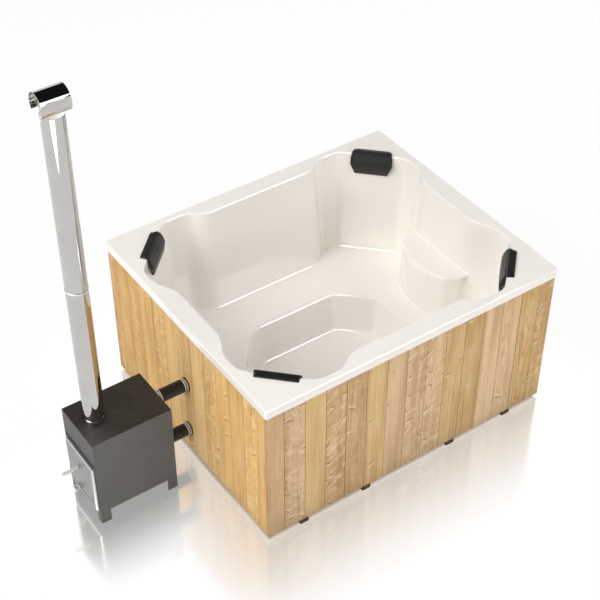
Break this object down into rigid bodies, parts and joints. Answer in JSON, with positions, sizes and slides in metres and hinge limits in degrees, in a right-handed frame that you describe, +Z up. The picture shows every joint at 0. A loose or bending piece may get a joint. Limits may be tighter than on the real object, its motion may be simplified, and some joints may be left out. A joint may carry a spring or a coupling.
{
  "type": "wood-fired hot tub",
  "caption": "Square hot tub with a moulded two-level basin in a timber-clad frame, soft headrests, and an outside wood stove with water hoses and a hooded flue.",
  "frame": {"origin": "centre of the tub's footprint on the ground", "axes": "+X along the tub's long side, from the stove side to the far side; +Y from the front long side to the back one; +Z up"},
  "size_m": [2.8145, 1.69, 2.749],
  "materials": {
    "acrylic": "gloss",
    "board_tan": "satin",
    "frame_timber": "matte",
    "bearer_timber": "matte",
    "pad_black": "satin",
    "white_plastic": "gloss",
    "grey_plastic": "satin",
    "black_rubber": "satin",
    "steel": "satin",
    "mirror_steel": "polished",
    "stove_paint": "satin",
    "cast_iron": "matte",
    "door_metal": "satin",
    "seal_rope": "matte"
  },
  "bodies": {
    "tub": {"acrylic_shell": "acrylic", "cladding_front": "board_tan", "cladding_back": "board_tan", "cladding_stove_side": "board_tan", "cladding_hose_board": "board_tan", "cladding_far_side": "board_tan", "corner_posts": "frame_timber", "top_battens": "frame_timber", "mid_rails": "frame_timber", "bottom_rails": "frame_timber", "bearers": "bearer_timber", "bearer_spacers": "bearer_timber", "floor_deck": "frame_timber", "footwell_battens": "frame_timber", "seat_props": "frame_timber", "drain_flange": "white_plastic", "drain_nut": "white_plastic", "drain_pipe": "grey_plastic", "upper_wall_pipe": "steel", "lower_wall_pipe": "steel", "upper_grille": "white_plastic", "lower_grille": "white_plastic", "wall_nuts": "steel", "wall_flanges": "black_rubber", "upper_hose": "black_rubber", "lower_hose": "black_rubber", "hose_clamps": "steel", "clamp_screws": "steel", "stove_casing": "stove_paint", "firebox": "steel", "grate_ledges": "steel", "fire_grate": "cast_iron", "stove_ports": "steel", "flue_collar": "mirror_steel", "lower_flue_pipe": "mirror_steel", "upper_flue_pipe": "mirror_steel", "flue_hood": "mirror_steel", "hood_brackets": "mirror_steel", "hood_rivets": "steel", "door_frame": "stove_paint", "hinge_brackets": "stove_paint", "hinge_pins": "steel"},
    "door": {"stove_door": "door_metal", "door_seal": "seal_rope", "air_slide_guides": "door_metal"},
    "air_slide": {"air_slide": "steel"},
    "handle": {"handle_shaft": "steel", "handle_grip": "steel", "latch_bar": "steel", "handle_nut": "steel"},
    "drain_plug": {"drain_plug": "black_rubber"},
    "headrest_front_stove": {"headrest_front_stove": "pad_black"},
    "headrest_front_far": {"headrest_front_far": "pad_black"},
    "headrest_back_stove": {"headrest_back_stove": "pad_black"},
    "headrest_back_far": {"headrest_back_far": "pad_black"}
  },
  "joints": [
    {"name": "door_hinge", "type": "hinge", "parent": "tub", "child": "door", "pos_m": [-1.6995, 0.129, 0.27], "axis": [0, 0, -1], "range_deg": [0, 115]},
    {"name": "handle_turn", "type": "hinge", "parent": "door", "child": "handle", "pos_m": [-1.7085, -0.02, 0.335], "axis": [-1, 0, 0], "range_deg": [0, 90]},
    {"name": "air_slide_move", "type": "slide", "parent": "door", "child": "air_slide", "axis": [0, 1, 0], "range_m": [0, 0.011]},
    {"name": "drain_plug_lift", "type": "slide", "parent": "tub", "child": "drain_plug", "axis": [0, 0, 1], "range_m": [0, 0.15]},
    {"name": "headrest_front_stove_lift", "type": "slide", "parent": "tub", "child": "headrest_front_stove", "axis": [0, 0, 1], "range_m": [0, 0.18]},
    {"name": "headrest_front_far_lift", "type": "slide", "parent": "tub", "child": "headrest_front_far", "axis": [0, 0, 1], "range_m": [0, 0.18]},
    {"name": "headrest_back_stove_lift", "type": "slide", "parent": "tub", "child": "headrest_back_stove", "axis": [0, 0, 1], "range_m": [0, 0.18]},
    {"name": "headrest_back_far_lift", "type": "slide", "parent": "tub", "child": "headrest_back_far", "axis": [0, 0, 1], "range_m": [0, 0.18]}
  ]
}
